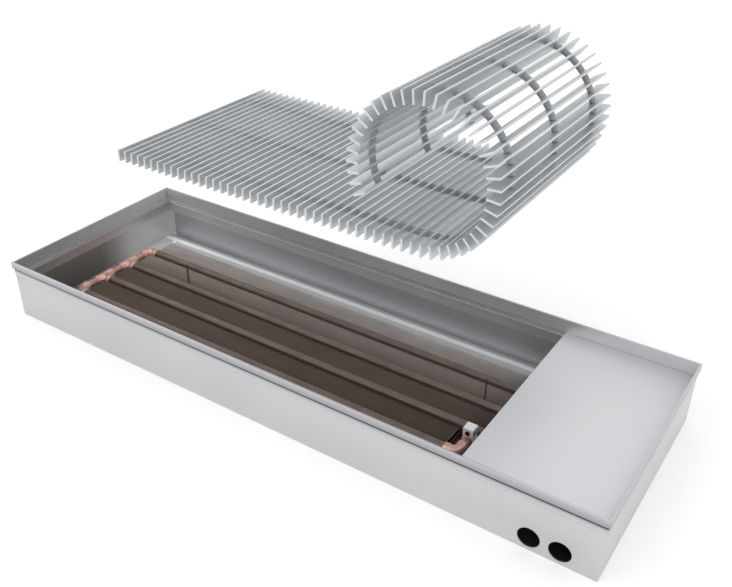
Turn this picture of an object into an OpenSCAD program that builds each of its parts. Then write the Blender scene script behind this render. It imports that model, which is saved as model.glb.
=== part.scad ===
// Trench convector heater: a sheet metal tray with a framed rim, a finned copper exchanger inside it,
// a cover plate over its pipe connections, and a roll-up grille lifted above it, half rolled up.
// Millimetres, +Z up. The origin is the centre of the tray's underside, +X to the pipe end, +Y to the back.

/* [Tray] */
// Length of the tray over its rim
tray_l = 1000; // [900:10:1600]
// Width of the tray over its rim
tray_w = 350; // [320:10:450]
// Height of the tray
tray_h = 98; // [94:1:150]
// Thickness of the folded sheet metal
sheet_t = 1.5; // [1:0.1:2]
// How far the walls stand in from the rim's outer face
wall_inset = 2.5; // [2:0.1:6]
// Gap between the walls' top edges and the rim's ledge
wall_gap = 0.5; // [0.2:0.1:4]
// Width of the flanges that join the end walls to the long walls
flange_w = 14; // [8:1:25]

/* [Rim] */
// Height of the rim's outer band
rim_band_h = 11; // [8:0.5:20]
// Thickness of the rim's outer band
rim_wall_t = 3; // [2.5:0.1:4]
// Thickness of the rim's web and ledge
rim_web_t = 1; // [1:0.1:2]
// Depth of the recess that the grille lies in
recess_h = 22; // [20:1:30]
// How far the rim's ledge reaches in from its outer face
ledge_reach = 12; // [10:0.5:20]
// Height of the rim's leg below its ledge
rim_leg_h = 21.5; // [15:0.5:30]

/* [Seat strips] */
// Thickness of the damping strips
strip_t = 2; // [1:0.1:2.4]
// Width of the damping strips
strip_w = 7; // [4:0.5:8]
// Gap round the strips
strip_gap = 0.5; // [0.2:0.1:1]

/* [Cover plate] */
// Length of the cover plate over the pipe connections
cover_l = 191; // [180:1:240]
// Thickness of the cover plate
cover_t = 1.2; // [0.8:0.1:1.5]
// Depth of the cover plate's folded lip
cover_lip_h = 12; // [6:1:16]
// Gap round the cover plate
cover_gap = 0.5; // [0.2:0.1:1.5]

/* [Exchanger] */
// Outer radius of the copper pipes
pipe_r = 7.5; // [6:0.5:9]
// Wall of the copper pipes
pipe_wall = 1; // [0.7:0.1:1.2]
// Height of the pipes' centre lines
pipe_z = 19; // [18:0.5:24]
// Distance between neighbouring heating tubes
row_pitch = 55; // [50:1:60]
// How far the exchanger lies in front of the tray's middle
exchanger_shift = 8.5; // [0:0.5:12]
// Distance from the left wall's inner face to the left header's centre line
header_inset = 42; // [25:1:60]
// Distance from the cover plate's edge back to the front tube's end elbow
elbow_tuck = 35; // [20:1:50]
// Distance from the cover plate's edge on to the back header under it
back_header_reach = 34; // [20:1:45]
// How far the short fins beside the air vent reach past their front tube
short_margin = 9; // [8:0.5:10]
// Thickness of one fin
fin_t = 0.4; // [0.2:0.1:0.6]
// Distance from one fin to the next
fin_pitch = 8; // [5:0.5:12]
// How far the fins reach past the outer tubes
fin_margin = 46; // [30:1:50]
// Height of the fins' lower edge
fin_z = 4.5; // [4:0.5:6]
// How far the fins' upper edge stands above the pipes' centre lines
fin_rise = 1; // [1:0.5:6]
// Gap between the left header's bends and the first fin
fin_start_gap = 0.5; // [0.5:0.5:6]
// Free end of each heating tube between the fins and the fittings at the right end
fin_clear_l = 6; // [3:1:15]
// Width of the slim uprights on the exchanger's brackets
upright_w = 3; // [2:0.5:6]
// Height of the uprights' tops
upright_top = 56; // [40:1:60]
// Distance from the third tube's centre line to the uprights
upright_reach = 11.5; // [11:0.5:14]

/* [Pipe fittings] */
// Wall of the soldered fittings
fitting_wall = 1.5; // [1:0.1:2]
// Distance from a fitting's centre to the mouth of its socket
fitting_arm = 19; // [17:0.5:22]
// Depth of the sockets
socket_depth = 8; // [6:0.5:9]
// How much slimmer a tee's branch is than its run
branch_step = 0.4; // [0.2:0.1:0.6]
// Bend radius of the elbows
bend_r = 11; // [10:0.5:11]
// Gap round a pipe in its socket
socket_gap = 0.1; // [0.05:0.05:0.2]

/* [Connections] */
// Radius of the two pipe holes in the front wall
pipe_hole_r = 14.5; // [11:0.5:17]
// Distance from the tray's right end to the supply hole
supply_inset = 50.5; // [45:0.5:60]
// Distance between the two pipe holes
port_pitch = 39.5; // [36:0.5:50]
// Distance from the front wall's outer face to the valves' mouths
port_depth = 33; // [20:1:50]
// Radius of the valves' threaded mouths
port_r = 10.3; // [8:0.1:11]
// Depth of the valves' threaded mouths
port_bore_l = 14; // [10:1:16]
// Length of a valve body
valve_l = 44; // [40:1:60]
// Radius of a valve body
valve_r = 13; // [12:0.5:15]
// Radius of a valve's bonnet
bonnet_r = 8; // [6:0.5:10]
// Height of a valve's bonnet above its centre line
bonnet_h = 20; // [16:1:24]
// Radius of a valve's spindle
spindle_r = 3; // [2:0.5:4]
// Radius of a valve's hand wheel
knob_r = 12; // [8:0.5:14]
// Height of a valve's hand wheel
knob_h = 13; // [8:1:15]

/* [Air vent] */
// Distance from the front tube's centre line to the air vent
vent_reach = 36; // [34:1:37]
// Side of the air vent's square block
vent_side = 15; // [12:1:18]
// Height of the air vent's block
vent_h = 13; // [10:1:18]
// Length of the air vent's cap
vent_cap_l = 12; // [8:1:14]
// Radius of the vent screw's shank
vent_screw_r = 2; // [1.5:0.1:2.5]
// Radius of the vent screw's head
vent_head_r = 3.2; // [2.5:0.1:4]

/* [Floor fixing] */
// Radius of the holes in the tray's floor
fixing_r = 4; // [2.5:0.5:6]
// Distance of the fixing holes from the tray's ends
fixing_end_inset = 30; // [25:1:36]
// Distance of the fixing holes from the tray's long sides
fixing_side_inset = 25; // [20:1:30]

/* [Grille] */
// Number of slats that lie flat
flat_count = 40; // [30:1:45]
// Number of slats that are rolled up
roll_count = 35; // [35:1:35]
// Thickness of a slat
slat_t = 3; // [2:0.1:4]
// Height of a slat
slat_h = 18; // [14:0.5:18]
// Distance from one slat to the next
slat_pitch = 13.3; // [11:0.1:13.3]
// Gap between the slats' ends and the rim's walls
slat_side_gap = 1.5; // [1:0.1:3]
// Turn from one rolled slat to the next, in degrees
roll_step = 8.4; // [4:0.1:8.6]
// Radius of the spacers between the slats
spacer_r = 4.5; // [3.5:0.1:5]
// Distance from the middle row of spacers to each outer row
spacer_spread = 126; // [100:1:130]
// Radius of the springs that string the slats together
spring_r = 2.2; // [1.5:0.1:2.5]
// Gap round the springs in the slats
spring_gap = 0.3; // [0.2:0.05:0.5]
// Gap between a rolled slat and its own spacers
bead_gap = 0.05; // [0.02:0.01:0.1]
// Running gap between a rolled slat's spacers and the slat before it
link_gap = 0.3; // [0.2:0.05:0.5]

/* [Lifted grille's place] */
// How far the first slat hangs to the right of its place in the rim
lift_x = 163; // [0:1:250]
// How far the grille hangs behind its place in the rim
lift_y = 100; // [0:1:150]
// How far the grille hangs above its place in the rim
lift_z = 199; // [150:1:300]
// Gap between the seated slats and the damping strips
seat_gap = 0.3; // [0.2:0.1:1]

/* [Hidden] */
cut = 1;
spacer_fn = 12;
bore_fn = 8;
hex_fn = 6;
row_count = 4;
row_shares = [-1.5, -0.5, 0.5, 1.5];
foot_w = 12;
bracket_start_fin = 15;
bracket_gap = 0.2;
running_gap = 0.1;
head_t = 2;
knob_rise = 2;

body_l = tray_l - 2 * wall_inset;
body_w = tray_w - 2 * wall_inset;
inner_l = body_l - 2 * sheet_t;
inner_w = body_w - 2 * sheet_t;
ledge_top = tray_h - recess_h;
ledge_under = ledge_top - rim_web_t;
wall_top = ledge_under - wall_gap;
leg_foot = ledge_under - rim_leg_h;
recess_l = tray_l - 2 * rim_wall_t;
recess_w = tray_w - 2 * rim_wall_t;

cover_x = recess_l / 2 - cover_l;
exchanger_y = -exchanger_shift;
rows = [for (share = row_shares) exchanger_y + share * row_pitch];
header_x = -inner_l / 2 + header_inset;
end_elbow_x = cover_x - elbow_tuck;
back_header_x = cover_x + back_header_reach;
fitting_r = pipe_r + socket_gap + fitting_wall;
mouth = fitting_arm - socket_depth;
fins_x0 = header_x + bend_r + fin_start_gap;
header_fins_x1 = header_x + fitting_arm + fin_start_gap + fin_t;
long_fins_x1 = end_elbow_x - fitting_arm - fin_clear_l;
short_fins_x1 = back_header_x - fitting_arm - fin_clear_l;
long_fin_count = floor((long_fins_x1 - fins_x0 - fin_t) / fin_pitch) + 1;
fin_count = floor((short_fins_x1 - fins_x0 - fin_t) / fin_pitch) + 1;
fin_y0 = rows[0] - fin_margin;
short_fin_y0 = rows[1] - short_margin;
fin_y1 = rows[3] + fin_margin;
fin_top = pipe_z + fin_rise;
vent_y = rows[0] + vent_reach;

supply_x = tray_l / 2 - supply_inset;
return_x = supply_x - port_pitch;
port_y = -body_w / 2 + port_depth;
valve_y = port_y + valve_l / 2;
knob_z = pipe_z + bonnet_h + knob_rise;

slat_l = recess_w - 2 * slat_side_gap;
slat_count = flat_count + roll_count;
seat_x = -(slat_count - 1) * slat_pitch / 2;
seat_z = ledge_top + strip_t + seat_gap + slat_h / 2;
grille_at = [seat_x + lift_x, lift_y, seat_z + lift_z];
spacer_ys = [-spacer_spread, 0, spacer_spread];
bore_r = spring_r + spring_gap;

slat_nodes = [for (i = [flat_count + 1:slat_count]) str("grille_slat_", i)];

// How far slat i is turned from the flat slats, in degrees.
function slat_turn(i) = roll_step * max(i - flat_count, 0);

// A point in the slats' plane, turned upwards about the Y axis.
function turned(point, angle) = [
    point[0] * cos(angle) - point[1] * sin(angle),
    point[0] * sin(angle) + point[1] * cos(angle)
];

// Where slat i stands in the X-Z plane, counted from the first slat. Each slat of the roll turns
// about the inner edge of its spacers' ends, on the face of the slat before it.
function slat_place(i) = i <= flat_count
    ? [(i - 1) * slat_pitch, 0]
    : slat_place(i - 1) + turned([slat_t / 2, spacer_r], slat_turn(i - 1))
        + turned([slat_pitch - slat_t / 2, -spacer_r], slat_turn(i));

// A bar of the given length along X, centred on X = 0, with its section in the Y-Z plane.
module along_x(length) {
    rotate([90, 0, 90]) linear_extrude(length, center = true) children();
}

// A cylinder along X from x0 to x1.
module rod_x(x0, x1, r, y, z) {
    translate([x0, y, z]) rotate([0, 90, 0]) cylinder(h = x1 - x0, r = r, $fn = 48);
}

// A cylinder along Y from y0 to y1.
module rod_y(y0, y1, r, x, z) {
    translate([x, y0, z]) rotate([-90, 0, 0]) cylinder(h = y1 - y0, r = r, $fn = 48);
}

// A hollow pipe along X.
module pipe_x(x0, x1, y) {
    difference() {
        rod_x(x0, x1, pipe_r, y, pipe_z);
        rod_x(x0 - cut, x1 + cut, pipe_r - pipe_wall, y, pipe_z);
    }
}

// A hollow pipe along Y.
module pipe_y(y0, y1, x) {
    difference() {
        rod_y(y0, y1, pipe_r, x, pipe_z);
        rod_y(y0 - cut, y1 + cut, pipe_r - pipe_wall, x, pipe_z);
    }
}

module tray_floor() {
    color("silver") difference() {
        translate([-inner_l / 2, -inner_w / 2, 0]) cube([inner_l, inner_w, sheet_t]);
        for (side = [-1, 1], end = [-1, 1])
            translate([end * (tray_l / 2 - fixing_end_inset), side * (tray_w / 2 - fixing_side_inset), -cut])
                cylinder(h = sheet_t + 2 * cut, r = fixing_r, $fn = 48);
    }
}

// One of the two long walls, at the front.
module long_wall() {
    translate([-body_l / 2, -body_w / 2, 0]) cube([body_l, sheet_t, wall_top]);
}

module front_wall() {
    color("silver") difference() {
        long_wall();
        for (x = [return_x, supply_x])
            rod_y(-body_w / 2 - cut, -inner_w / 2 + cut, pipe_hole_r, x, pipe_z);
    }
}

module back_wall() {
    color("silver") mirror([0, 1, 0]) long_wall();
}

// The left end wall, with a flange along each long wall.
module end_wall() {
    translate([-body_l / 2, -inner_w / 2, 0]) cube([sheet_t, inner_w, wall_top]);
    for (side = [0, 1]) mirror([0, side, 0])
        translate([-inner_l / 2, -inner_w / 2, sheet_t]) cube([flange_w, sheet_t, leg_foot - sheet_t]);
}

module left_end_wall() {
    color("silver") end_wall();
}

module right_end_wall() {
    color("silver") mirror([1, 0, 0]) end_wall();
}

// A rim bar along the front of a rim of the given length and depth, mitred at both ends.
// Its section is an outer band, a web stepped back below it, a ledge and a leg inside the wall.
module rim_bar(length, depth) {
    leg_out = wall_inset + sheet_t;
    intersection() {
        translate([0, -depth / 2, 0]) along_x(length) polygon([
            [0, tray_h - rim_band_h],
            [0, tray_h],
            [rim_wall_t, tray_h],
            [rim_wall_t, ledge_top],
            [ledge_reach, ledge_top],
            [ledge_reach, ledge_under],
            [leg_out + rim_web_t, ledge_under],
            [leg_out + rim_web_t, leg_foot],
            [leg_out, leg_foot],
            [leg_out, ledge_under],
            [rim_wall_t - rim_web_t, ledge_under],
            [rim_wall_t - rim_web_t, tray_h - rim_band_h]
        ]);
        linear_extrude(tray_h + cut) polygon([
            [-length / 2, -depth / 2],
            [length / 2, -depth / 2],
            [length / 2 - ledge_reach, ledge_reach - depth / 2],
            [ledge_reach - length / 2, ledge_reach - depth / 2]
        ]);
    }
}

module rim_front() {
    color("lightgrey") rim_bar(tray_l, tray_w);
}

module rim_back() {
    color("lightgrey") mirror([0, 1, 0]) rim_bar(tray_l, tray_w);
}

module rim_left() {
    color("lightgrey") rotate([0, 0, -90]) rim_bar(tray_w, tray_l);
}

module rim_right() {
    color("lightgrey") rotate([0, 0, 90]) rim_bar(tray_w, tray_l);
}

module seat_strips() {
    x0 = strip_gap - recess_l / 2;
    x1 = cover_x - strip_gap;
    y0 = strip_gap - recess_w / 2;
    inner_y = y0 + strip_w + strip_gap;
    color("grey") {
        for (side = [0, 1]) mirror([0, side, 0])
            translate([x0, y0, ledge_top]) cube([x1 - x0, strip_w, strip_t]);
        translate([x0, inner_y, ledge_top]) cube([strip_w, -2 * inner_y, strip_t]);
    }
}

module cover_plate() {
    half_w = recess_w / 2 - cover_gap;
    lip_half_w = tray_w / 2 - ledge_reach - cover_gap;
    color("gainsboro") union() {
        translate([cover_x, -half_w, ledge_top]) cube([cover_l - cover_gap, 2 * half_w, cover_t]);
        translate([cover_x, -lip_half_w, ledge_top - cover_lip_h])
            cube([cover_t, 2 * lip_half_w, cover_lip_h + cover_t]);
    }
}

// One fin at X = 0: a plate from the given front edge to the back, with an open notch at each tube, round
// the tube or a fitting of the given radius.
module fin(front_y, round_r) {
    notch_r = (round_r + socket_gap) / cos(180 / bore_fn);
    along_x(fin_t) difference() {
        translate([front_y, fin_z]) square([fin_y1 - front_y, fin_top - fin_z]);
        for (y = rows) translate([y, pipe_z]) rotate(180 / bore_fn) circle(r = notch_r, $fn = bore_fn);
    }
}

// Long fins span all tubes. Short ones go on beside the air vent and under the cover plate. The first fins
// stand round the left header's fittings.
module fin_pack() {
    color("dimgrey") for (i = [0:fin_count - 1]) {
        fin_x = fins_x0 + i * fin_pitch;
        translate([fin_x + fin_t / 2, 0, 0])
            fin(i < long_fin_count ? fin_y0 : short_fin_y0, fin_x < header_fins_x1 ? fitting_r : pipe_r);
    }
}

module heating_tubes() {
    color("sienna") {
        pipe_x(header_x + mouth, end_elbow_x - mouth, rows[0]);
        pipe_x(header_x + mouth, return_x - mouth, rows[1]);
        for (row = [2, 3]) pipe_x(header_x + mouth, back_header_x - mouth, rows[row]);
    }
}

// The socket of a fitting's arm along +X, with the fitting's centre at the origin.
module arm_socket() {
    translate([fitting_arm - socket_depth, 0, 0]) rotate([0, 90, 0])
        cylinder(h = socket_depth + cut, r = pipe_r + socket_gap, $fn = 48);
}

// A tee with two arms along X and one along +Y, at the origin. The branch is a little slimmer than the run.
module tee() {
    waterway_r = pipe_r - pipe_wall;
    difference() {
        union() {
            rotate([0, 90, 0]) cylinder(h = 2 * fitting_arm, r = fitting_r, center = true, $fn = 48);
            rotate([-90, 0, 0]) cylinder(h = fitting_arm, r = fitting_r - branch_step, $fn = 48);
        }
        rotate([0, 90, 0]) cylinder(h = 2 * fitting_arm + cut, r = waterway_r, center = true, $fn = 48);
        rotate([-90, 0, 0]) cylinder(h = fitting_arm + cut, r = waterway_r - branch_step, $fn = 48);
        for (turn = [0, 90, 180]) rotate([0, 0, turn]) arm_socket();
    }
}

// One round limb of an elbow: a quarter ring from -Y to +X with a straight arm at each end.
module elbow_limb(r, arm) {
    translate([bend_r, -bend_r, 0]) rotate([0, 0, 90]) rotate_extrude(angle = 90, $fn = 96)
        translate([bend_r, 0]) circle(r = r, $fn = 48);
    translate([bend_r, 0, 0]) rotate([0, 90, 0]) cylinder(h = arm - bend_r, r = r, $fn = 48);
    translate([0, -bend_r, 0]) rotate([90, 0, 0]) cylinder(h = arm - bend_r, r = r, $fn = 48);
}

// An elbow with its arms along +X and -Y, at the origin.
module elbow() {
    difference() {
        elbow_limb(fitting_r, fitting_arm);
        elbow_limb(pipe_r - pipe_wall, fitting_arm + cut);
        for (turn = [0, -90]) rotate([0, 0, turn]) translate([fitting_arm - socket_depth, 0, 0])
            rotate([0, 90, 0]) cylinder(h = socket_depth + cut, r = pipe_r + socket_gap, $fn = 48);
    }
}

module header_elbows() {
    color("salmon") {
        translate([header_x, rows[3], pipe_z]) elbow();
        translate([header_x, rows[0], pipe_z]) rotate([0, 0, 90]) elbow();
        translate([back_header_x, rows[3], pipe_z]) rotate([0, 0, -90]) elbow();
        translate([end_elbow_x, rows[0], pipe_z]) rotate([0, 0, 180]) elbow();
        translate([return_x, rows[1], pipe_z]) rotate([0, 0, -90]) elbow();
        translate([supply_x, rows[2], pipe_z]) rotate([0, 0, -90]) elbow();
    }
}

module header_tees() {
    color("salmon") {
        for (row = [1, 2]) translate([header_x, rows[row], pipe_z]) rotate([0, 0, -90]) tee();
        translate([back_header_x, rows[2], pipe_z]) tee();
    }
}

module connecting_pipes() {
    valve_back = port_y + valve_l - socket_depth;
    color("sienna") {
        for (row = [0:row_count - 2]) pipe_y(rows[row] + mouth, rows[row + 1] - mouth, header_x);
        pipe_y(rows[0] + mouth, vent_y, end_elbow_x);
        pipe_y(rows[2] + mouth, rows[3] - mouth, back_header_x);
        pipe_x(back_header_x + mouth, supply_x - mouth, rows[2]);
        pipe_y(valve_back, rows[1] - mouth, return_x);
        pipe_y(valve_back, rows[2] - mouth, supply_x);
    }
}

// Two folded brackets that stand on the floor between two fins and carry the tubes. Each has a slim
// upright that stands out above the fins.
module exchanger_brackets() {
    bracket_y0 = fin_y0 + foot_w;
    bracket_w = fin_y1 - fin_y0 - 2 * foot_w;
    rise = pipe_z - pipe_r - bracket_gap - sheet_t;
    to_plate = (fin_t + sheet_t) / 2 + (fin_pitch - fin_t) / 2 - sheet_t;
    color("dimgrey") for (fin = [bracket_start_fin, long_fin_count - 1])
        translate([fins_x0 + to_plate + fin * fin_pitch, 0, sheet_t])
            union() {
                translate([0, bracket_y0, 0]) cube([sheet_t, bracket_w, rise]);
                translate([0, bracket_y0, 0]) cube([foot_w, bracket_w, sheet_t]);
                translate([0, rows[2] + upright_reach, 0]) cube([sheet_t, upright_w, upright_top - sheet_t]);
            }
}

// The air vent: a cap that closes the stub of the front tube, with a block on it.
module air_vent() {
    block_z = pipe_z + pipe_r + socket_gap;
    color("white") difference() {
        union() {
            rod_y(vent_y - vent_cap_l / 2, vent_y + vent_cap_l / 2, fitting_r, end_elbow_x, pipe_z);
            translate([end_elbow_x - vent_side / 2, vent_y - vent_side / 2, block_z])
                cube([vent_side, vent_side, vent_h]);
        }
        rod_y(vent_y - vent_cap_l / 2 - cut, vent_y, pipe_r + socket_gap, end_elbow_x, pipe_z);
        rod_y(vent_y - vent_side / 2 - cut, vent_y, vent_screw_r + running_gap,
            end_elbow_x, block_z + vent_h / 2);
    }
}

module vent_screw() {
    head_y = vent_y - vent_side / 2 - running_gap;
    screw_z = pipe_z + pipe_r + socket_gap + vent_h / 2;
    color("black") difference() {
        union() {
            rod_y(head_y, vent_y - head_t, vent_screw_r, end_elbow_x, screw_z);
            rod_y(head_y - head_t, head_y, vent_head_r, end_elbow_x, screw_z);
        }
        translate([end_elbow_x - vent_head_r, head_y - head_t - cut, screw_z - vent_screw_r / 4])
            cube([2 * vent_head_r, head_t / 2 + cut, vent_screw_r / 2]);
    }
}

// One valve body along Y: a six-sided mouth, a round body, and a bonnet for its spindle.
module valve_body() {
    nut_l = port_bore_l + sheet_t;
    difference() {
        union() {
            translate([0, nut_l - valve_l / 2, 0]) rotate([90, 0, 0])
                cylinder(h = nut_l, r = valve_r / cos(180 / hex_fn), $fn = hex_fn);
            rotate([90, 0, 0]) cylinder(h = valve_l, r = fitting_r + sheet_t, center = true, $fn = 48);
            cylinder(h = bonnet_h, r = bonnet_r, $fn = 48);
        }
        translate([0, port_bore_l - valve_l / 2, 0]) rotate([90, 0, 0])
            cylinder(h = port_bore_l + cut, r = port_r, $fn = 48);
        translate([0, valve_l / 2 - socket_depth, 0]) rotate([-90, 0, 0])
            cylinder(h = socket_depth + cut, r = pipe_r + socket_gap, $fn = 48);
        translate([0, 0, bonnet_h / 2]) cylinder(h = bonnet_h, r = spindle_r + running_gap, $fn = 48);
    }
}

module valve_bodies() {
    color("goldenrod") for (x = [return_x, supply_x]) translate([x, valve_y, pipe_z]) valve_body();
}

// A hand wheel and its spindle, on a valve's centre line.
module valve_knob() {
    flute_r = knob_r / 6;
    union() {
        translate([0, 0, pipe_z + bonnet_h / 2 + knob_rise])
            cylinder(h = bonnet_h / 2 + knob_rise, r = spindle_r, $fn = 48);
        difference() {
            translate([0, 0, knob_z]) cylinder(h = knob_h, r = knob_r, $fn = 48);
            for (turn = [0:60:300]) rotate([0, 0, turn]) translate([knob_r, 0, knob_z - cut])
                cylinder(h = knob_h + 2 * cut, r = flute_r, $fn = 24);
        }
    }
}

module supply_knob() {
    color("red") translate([supply_x, valve_y, 0]) valve_knob();
}

module return_knob() {
    color("white") translate([return_x, valve_y, 0]) valve_knob();
}

// One slat of the grille, centred on the origin.
module slat() {
    cube([slat_t, slat_l, slat_h], center = true);
}

// Spacers of the given length, ending at the slat's left face.
module spacers(length) {
    for (y = spacer_ys) translate([-slat_t / 2 - length, y, 0]) rotate([0, 90, 0])
        cylinder(h = length, r = spacer_r, $fn = spacer_fn);
}

// The bores for the springs, through everything from x0 to x1.
module spring_bores(x0, x1) {
    for (y = spacer_ys) translate([x0, y, 0]) rotate([0, 90, 0])
        cylinder(h = x1 - x0, r = bore_r / cos(180 / bore_fn), $fn = bore_fn);
}

module grille_flat_slats() {
    color("silver") translate(grille_at) for (i = [0:flat_count - 1]) translate([i * slat_pitch, 0, 0])
        difference() {
            slat();
            spring_bores(-slat_t, slat_t);
        }
}

module grille_flat_spacers() {
    color("dimgrey") translate(grille_at) for (i = [1:flat_count - 1]) translate([i * slat_pitch, 0, 0])
        difference() {
            spacers(slat_pitch - slat_t);
            spring_bores(-slat_pitch, 0);
        }
}

module grille_springs() {
    x0 = grille_at[0] - slat_t / 2;
    x1 = grille_at[0] + (flat_count - 1) * slat_pitch + slat_t / 2;
    color("darkgrey") for (y = spacer_ys) rod_x(x0, x1, spring_r, grille_at[1] + y, grille_at[2]);
}

// Slat i of the roll, with the spacers that carry it on the slat before it.
module rolled_slat(i) {
    place = slat_place(i);
    color("silver") translate(grille_at + [place[0], 0, place[1]]) rotate([0, -slat_turn(i), 0]) {
        slat();
        translate([-bead_gap, 0, 0]) spacers(slat_pitch - slat_t - link_gap - bead_gap);
    }
}

tray_floor();
front_wall();
back_wall();
left_end_wall();
right_end_wall();
rim_front();
rim_back();
rim_left();
rim_right();
seat_strips();
cover_plate();
fin_pack();
heating_tubes();
header_elbows();
header_tees();
connecting_pipes();
exchanger_brackets();
air_vent();
vent_screw();
valve_bodies();
supply_knob();
return_knob();
grille_flat_slats();
grille_flat_spacers();
grille_springs();
for (i = [flat_count + 1:slat_count])
    rolled_slat(i);
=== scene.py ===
"""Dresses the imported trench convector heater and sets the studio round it.

Every size and place follows the CAD frame, in metres. The origin is the centre of the tray's underside,
+X points to the pipe end and +Y to the back.
"""

import logging
import math
from dataclasses import dataclass, field, replace
from enum import Enum
from typing import Callable, Iterable, Optional, Sequence, Union

import bmesh
import bpy
from mathutils import Matrix, Vector


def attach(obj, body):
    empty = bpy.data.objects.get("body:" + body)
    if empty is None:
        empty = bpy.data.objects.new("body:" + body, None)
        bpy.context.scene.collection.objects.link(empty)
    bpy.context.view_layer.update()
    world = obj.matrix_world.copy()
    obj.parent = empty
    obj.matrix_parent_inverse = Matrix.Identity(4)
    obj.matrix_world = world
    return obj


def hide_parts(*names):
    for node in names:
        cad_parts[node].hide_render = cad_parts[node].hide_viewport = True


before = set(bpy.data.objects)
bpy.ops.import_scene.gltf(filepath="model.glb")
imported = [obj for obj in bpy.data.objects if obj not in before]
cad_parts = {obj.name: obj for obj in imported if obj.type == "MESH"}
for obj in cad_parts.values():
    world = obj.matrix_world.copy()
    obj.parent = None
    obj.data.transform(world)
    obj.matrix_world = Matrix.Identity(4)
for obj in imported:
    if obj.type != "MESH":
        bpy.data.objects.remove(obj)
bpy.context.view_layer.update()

log = logging.getLogger("trench_heater")

Colour = tuple[float, float, float]
Triple = tuple[float, float, float]
Tones = tuple[tuple[float, str], ...]
Socket = bpy.types.NodeSocket
Number = Union[Socket, float]
Tint = Union[Socket, tuple[float, float, float, float]]
Radius = Union[float, Callable[[float], float]]
Fitting = tuple[Vector, Vector, Vector]

MM = 0.001
ACROSS_X = Vector((1.0, 0.0, 0.0))
ACROSS_Y = Vector((0.0, 1.0, 0.0))
UP = Vector((0.0, 0.0, 1.0))

MERGE_DISTANCE = 0.001 * MM
FLAT_ANGLE = math.radians(0.5)
EDGE_ANGLE = math.radians(40)
CREASE_ANGLE = math.radians(45)
SEEN_RAYS = ("Is Camera Ray", "Is Glossy Ray", "Is Transmission Ray")


class Slot(Enum):
    """The record's material slots, listed with the pieces beside their finishes."""

    SHEET = "galvanised_sheet"
    COVER = "cover_sheet"
    RIM = "rim_aluminium"
    GRILLE = "grille_aluminium"
    SPACER = "spacer_plastic"
    SPRING = "spring_steel"
    STRIP = "strip_rubber"
    FIN = "fin_aluminium"
    BRACKET = "bracket_steel"
    COPPER = "copper"
    TUBE = "tube_copper"
    BRASS = "valve_brass"
    VENT = "vent_plastic"
    SCREW = "vent_screw_black"
    SUPPLY = "supply_red"
    RETURN = "return_blue"


class Body(Enum):
    """The bodies of the frame that the pieces ride on, apart from the rolled slats' own."""

    TRAY = "tray"
    GRILLE = "grille"
    VENT_SCREW = "vent_screw"
    SUPPLY = "supply_valve"
    RETURN = "return_valve"


class Run(Enum):
    """The direction that a rolled or drawn metal's grain runs in."""

    ALONG_X = (14.0, 1300.0, 1300.0)
    ALONG_Y = (1300.0, 14.0, 1300.0)
    EVEN = (420.0, 420.0, 420.0)


def linear(code: str) -> Colour:
    """Turns a hex colour into linear light.

    Args:
        code: Six hex digits, as a picture shows the colour.

    Returns:
        The red, green and blue parts in linear light.
    """
    parts = [int(code[start : start + 2], 16) / 255 for start in (0, 2, 4)]
    low, mid, high = (
        part / 12.92 if part <= 0.04045 else ((part + 0.055) / 1.055) ** 2.4
        for part in parts
    )
    return low, mid, high


def alike(value: float) -> Triple:
    """Gives the same value three times, as a grey or as an even scale."""
    return value, value, value


@dataclass(frozen=True)
class Pattern:
    """A noise on a surface.

    Attributes:
        scale: Cycles per metre along X, Y and Z.
        detail: Octaves of the noise.
        roughness: How much the finer octaves count.
    """

    scale: Triple
    detail: float
    roughness: float = 0.5


PATCHES = Pattern(alike(38.0), 6.0, 0.62)
SCRATCHES = Pattern((90.0, 900.0, 900.0), 3.0)
SCUFFS = Pattern(alike(60.0), 7.0, 0.7)
PAPER_CLOUDS = Pattern(alike(3.0), 3.0)
CLOUD_DETAIL = (5.0, 0.55)
DULL_DETAIL = (5.0, 0.6)
GRAIN_DETAIL = (4.0, 0.6)
TEXTURE_DETAIL = 2.0

NOISE_MIDDLE = (0.25, 0.75)
CLOUD_STOPS = (0.3, 0.7)
SCUFF_STOPS = (0.42, 0.8)
PAPER_STOPS = (0.2, 0.8)
TARNISH_EDGE = 0.28

SCRATCH_DEPTH = 0.02 * MM
PATCH_DEPTH = 0.06 * MM
TEXTURE_DEPTH = 0.03 * MM


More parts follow.
